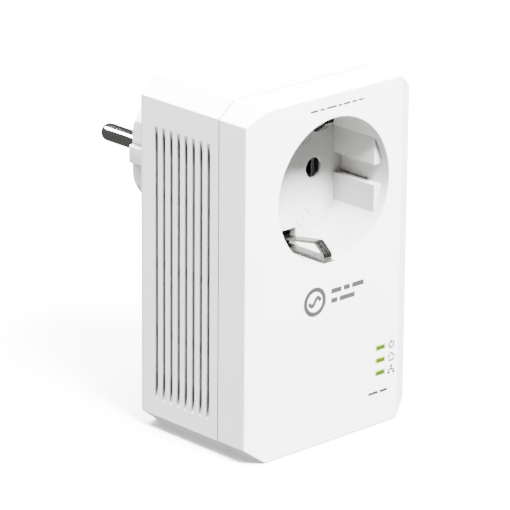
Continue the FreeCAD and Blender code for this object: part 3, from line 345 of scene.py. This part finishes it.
class Marks:
    """Flat marks on one face: solid ribbons that follow lines drawn in the face's own plane."""

    def __init__(self, name, place, lift):
        self.name = name
        self.place = place
        self.lift = lift
        self.mesh = bmesh.new()

    def ribbon(self, line, width, closed=False):
        """A ribbon of even width along a line of (across, up) points, as a closed solid."""
        count = len(line)
        rows = []
        for index, point in enumerate(line):
            before = line[index - 1] if closed or index else point
            after = line[(index + 1) % count] if closed or index + 1 < count else point
            along = (Vector(after) - Vector(before)).normalized()
            side = Vector((-along.y, along.x)) * width / 2
            ends = [Vector(point) + side, Vector(point) - side]
            section = ((ends[0], 0), (ends[0], self.lift), (ends[1], self.lift), (ends[1], 0))
            rows.append([self.mesh.verts.new(self.place(end, lift)) for end, lift in section])
        last = count if closed else count - 1
        for index in range(last):
            here, there = rows[index], rows[(index + 1) % count]
            for corner in range(4):
                follow = (corner + 1) % 4
                self.mesh.faces.new((here[corner], here[follow], there[follow], there[corner]))
        if not closed:
            self.mesh.faces.new(rows[0])
            self.mesh.faces.new(list(reversed(rows[-1])))

    def bar(self, across, up, length, height):
        """A plain level bar."""
        self.ribbon([(across - length / 2, up), (across + length / 2, up)], height)

    def arc(self, across, up, radius, start, end, width):
        """Part of a ring, between two angles in degrees, or the whole ring."""
        sweep = end - start
        full = sweep >= 360
        steps = round(ROUND_STEPS * sweep / 90)
        turns = [math.radians(start + sweep * step / steps) for step in range(steps + (not full))]
        line = [(across + radius * math.cos(turn), up + radius * math.sin(turn)) for turn in turns]
        self.ribbon(line, width, full)

    def finish(self, material, body="adapter"):
        """Turn the marks into one piece that rides on a body."""
        bmesh.ops.recalc_face_normals(self.mesh, faces=self.mesh.faces)
        data = bpy.data.meshes.new(self.name)
        self.mesh.to_mesh(data)
        self.mesh.free()
        data.materials.append(material)
        piece = bpy.data.objects.new(self.name, data)
        bpy.context.collection.objects.link(piece)
        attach(piece, body)


def on_front(point, lift):
    """A point of the front face, in metres, from millimetres across and up."""
    return Vector((point.x * MM, FRONT - lift, point.y * MM))


def on_recess_floor(point, lift):
    """A point of the socket's floor; heights are from the socket's axis."""
    return Vector((point.x * MM, FRONT + SOCKET_DEPTH - lift, SOCKET_RISE + point.y * MM))


def on_label(point, lift):
    """A point of the rear label; its left is the adapter's right."""
    return Vector((-point.x * MM, LABEL_HIGH.y + lift, point.y * MM))


def on_button(point, lift):
    """A point of the pair button's face, from the button's middle."""
    middle = (BUTTON_LOW + BUTTON_HIGH) / 2
    return Vector((middle.x + point.x * MM, middle.y + point.y * MM, BUTTON_LOW.z - lift))


def dashes(marks, left, up, lengths, gap, height):
    """A row of plain bars in place of a line of words."""
    across = left
    for length in lengths:
        marks.bar(across + length / 2, up, length, height)
        across += length + gap


def emblem(marks, across, up):
    """A wave of one period inside a ring."""
    radius, ring_width, wave_width, wave_height = 3.3, 1.2, 1.0, 1.0
    wave_reach = 0.62 * radius
    marks.arc(across, up, radius, 0, 360, ring_width)
    shares = [step / ROUND_STEPS for step in range(-ROUND_STEPS, ROUND_STEPS + 1)]
    marks.ribbon([(across + wave_reach * share, up + wave_height * math.sin(math.pi * share))
                  for share in shares], wave_width)


def power_sign(marks, across, up):
    """A ring open at the top with a stroke in the gap."""
    marks.arc(across, up, radius=0.9, start=120, end=420, width=SIGN_STROKE)
    marks.ribbon([(across, up + 0.1), (across, up + 1.2)], SIGN_STROKE)


def home_sign(marks, across, up):
    """A roof over three walls."""
    roof, rise, wall, top, foot = 1.2, 1.1, 0.75, up - 0.2, up - 1.0
    marks.ribbon([(across - roof, up), (across, up + rise), (across + roof, up)], SIGN_STROKE)
    marks.ribbon([(across - wall, top), (across - wall, foot), (across + wall, foot),
                  (across + wall, top)], SIGN_STROKE)


def network_sign(marks, across, up):
    """One box above, joined to two below."""
    reach, drop = 0.9, up - 0.6
    marks.ribbon([(across, up + 0.8), (across, up)], SIGN_STROKE)
    marks.ribbon([(across - reach, drop), (across - reach, up), (across + reach, up),
                  (across + reach, drop)], SIGN_STROKE)
    for shift, rise in ((0, 0.9), (-reach, -0.8), (reach, -0.8)):
        marks.bar(across + shift, up + rise, 0.8, 0.6)


def front_marks():
    """An emblem beside two rows of bars, dashes above the socket and below the lamps, lamp signs."""
    marks = Marks("front_marks", on_front, PRINT_LIFT)
    emblem(marks, across=-6.4, up=39.7)
    dashes(marks, left=-0.6, up=41.2, lengths=(3.6, 2.2, 4.2), gap=0.8, height=1.3)
    dashes(marks, left=-0.6, up=38.6, lengths=(2.2, 5.4), gap=0.8, height=1.3)
    dashes(marks, left=-8.7, up=90.5, lengths=(2.6, 1.6, 3.4, 1.2, 2.2, 1.6, 1.8), gap=0.7, height=0.5)
    dashes(marks, left=13.4, up=9.2, lengths=(3.4, 2.6), gap=0.8, height=0.7)
    for sign, up in zip((network_sign, home_sign, power_sign), LAMP_UPS):
        sign(marks, SIGN_ACROSS, up)
    marks.finish(MATERIALS["mark_grey"])


def lamp_cores():
    """The darker middle of each lamp window."""
    marks = Marks("lamp_cores", on_front, PRINT_LIFT)
    for up in LAMP_UPS:
        marks.bar(LAMP_MIDDLE.x, up, *LAMP_CORE)
    marks.finish(MATERIALS["lamp_core"])


def recess_marks():
    """The raised earth sign in its ring, and a plain raised disc outline, on the socket's floor."""
    marks = Marks("recess_marks", on_recess_floor, MOULD_LIFT)
    across, up = 6.0, -12.6
    stem_stroke, row_stroke, row_pitch = 0.22, 0.2, 0.45
    marks.arc(across, up, radius=2.2, start=0, end=360, width=stem_stroke)
    marks.ribbon([(across, up + 1.3), (across, up)], stem_stroke)
    for row, length in enumerate((2.2, 1.4, 0.7)):
        marks.bar(across, up - row_pitch * row, length, row_stroke)
    marks.arc(across=6.3, up=8.8, radius=1.9, start=0, end=360, width=row_stroke)
    marks.finish(MATERIALS["socket_white"])


def label_marks():
    """A frame and rows of plain bars on the rear label."""
    marks = Marks("label_marks", on_label, PRINT_LIFT)
    edge, indent, first_row, row_pitch = 1.2, 2.2, 3.0, 3.6
    left, right = LABEL_LOW.x / MM + edge, LABEL_HIGH.x / MM - edge
    bottom, top = LABEL_LOW.z / MM + edge, LABEL_HIGH.z / MM - edge
    frame_line = [(left, bottom), (right, bottom), (right, top), (left, top)]
    marks.ribbon(frame_line, width=0.25, closed=True)
    rows = ((6, 3, 8, 5), (4, 9, 3), (7, 5, 6, 4), (3, 3, 8), (9, 4, 5), (5, 8))
    for row, lengths in enumerate(rows):
        dashes(marks, left + indent, top - first_row - row_pitch * row, lengths, gap=1.0, height=0.8)
    marks.finish(MATERIALS["mark_grey"])


def button_marks():
    """Two facing arcs on the pair button's face."""
    marks = Marks("button_marks", on_button, PRINT_LIFT)
    for start in (30, 210):
        marks.arc(across=0, up=0, radius=1.2, start=start, end=start + 120, width=0.25)
    marks.finish(MATERIALS["mark_grey"], "pair_button")


# ---- Floor, light and camera -----------------------------------------------------------------

def bowl(name, profile, sides):
    """A round mesh, flat inside the first (radius, height) of the profile and smooth along the rest."""
    shape = bmesh.new()
    turns = [2 * math.pi * side / sides for side in range(sides)]
    rings = []
    for radius, height in profile:
        rings.append([shape.verts.new((radius * math.cos(turn), radius * math.sin(turn), height))
                      for turn in turns])
    shape.faces.new(rings[0])
    for lower, upper in zip(rings, rings[1:]):
        for side in range(sides):
            after = (side + 1) % sides
            face = shape.faces.new((lower[side], lower[after], upper[after], upper[side]))
            face.smooth = True
    mesh = bpy.data.meshes.new(name)
    shape.to_mesh(mesh)
    shape.free()
    return mesh


def make_floor():
    """A wide pale floor that curves up into a low wall, and lets the light from below through."""
    flat, curve, wall, sides = 2.2, 0.8, 1.2, 96
    quarter = [math.pi / 2 * step / ROUND_STEPS for step in range(ROUND_STEPS + 1)]
    profile = [(flat + curve * math.sin(turn), curve - curve * math.cos(turn)) for turn in quarter]
    mesh = bowl("floor", profile + [(flat + curve, curve + wall)], sides)
    floor = bpy.data.objects.new("floor", mesh)
    bpy.context.collection.objects.link(floor)
    nodes = Nodes("floor_white")
    tone = nodes.spread(nodes.noise(3.0, detail=2), 0.0, 1.0)
    colour = nodes.mix(tone, rgba((0.90, 0.90, 0.90)), rgba((0.885, 0.885, 0.885)))
    nodes.link(colour, nodes.shader.inputs["Base Color"])
    nodes.shader.inputs["Roughness"].default_value = 0.6
    mesh.materials.append(nodes.material)
    floor.visible_diffuse = False
    floor.visible_glossy = False
    floor.visible_shadow = False


def area_light(name, offset, size, power):
    """A soft light, wide and high as given, at an offset from the middle of the case, turned to it."""
    data = bpy.data.lights.new(name, "AREA")
    data.shape = "RECTANGLE"
    data.size, data.size_y = size
    data.energy = power
    light = bpy.data.objects.new(name, data)
    light.location = CASE_MIDDLE + Vector(offset)
    light.rotation_mode = "QUATERNION"
    light.rotation_quaternion = Vector(offset).to_track_quat("Z", "Y")
    light.visible_camera = False
    bpy.context.collection.objects.link(light)


def make_lights():
    """Lights overhead, high in front and behind, two low ones for the floor's bounce, and a dim sky."""
    sky_strength = 0.12
    world = bpy.data.worlds.new("studio")
    world.use_nodes = True
    background = world.node_tree.nodes["Background"]
    background.inputs["Color"].default_value = (1, 1, 1, 1)
    background.inputs["Strength"].default_value = sky_strength
    bpy.context.scene.world = world
    area_light("overhead", (0.1, 0.3, 1.4), (1.4, 1.4), 300)
    area_light("key", (-0.08, -0.74, 1.00), (0.5, 0.3), 270)
    area_light("rim", (-0.45, 0.90, 0.85), (0.5, 0.5), 25)
    area_light("bounce", (-0.30, -0.12, -0.035), (0.2, 0.05), 0.9)
    area_light("under", (0.0, 0.0, -0.9), (1.2, 1.2), 9)


def make_camera():
    """The camera at the object's viewing angle, aimed so that the whole object is in view."""
    azimuth, elevation = math.radians(VIEW_AZIMUTH), math.radians(VIEW_ELEVATION)
    back = Vector((math.sin(azimuth) * math.cos(elevation), -math.cos(azimuth) * math.cos(elevation),
                   math.sin(elevation)))
    low, high = Vector(cad_box[0]), Vector(cad_box[1])
    aim = Vector((0, low.y + AIM_DEPTH_SHARE * (high.y - low.y), AIM_HEIGHT_SHARE * high.z))
    data = bpy.data.cameras.new("camera")
    data.sensor_width = SENSOR
    data.lens = VIEW_LENS
    camera = bpy.data.objects.new("camera", data)
    camera.location = CASE_MIDDLE + back * VIEW_DISTANCE
    camera.rotation_mode = "QUATERNION"
    level = (aim - camera.location).to_track_quat("-Z", "Y")
    camera.rotation_quaternion = level @ Quaternion((0, 0, 1), math.radians(VIEW_ROLL))
    bpy.context.collection.objects.link(camera)
    bpy.context.scene.camera = camera


front_marks()
lamp_cores()
recess_marks()
label_marks()
button_marks()
make_floor()
make_lights()
make_camera()
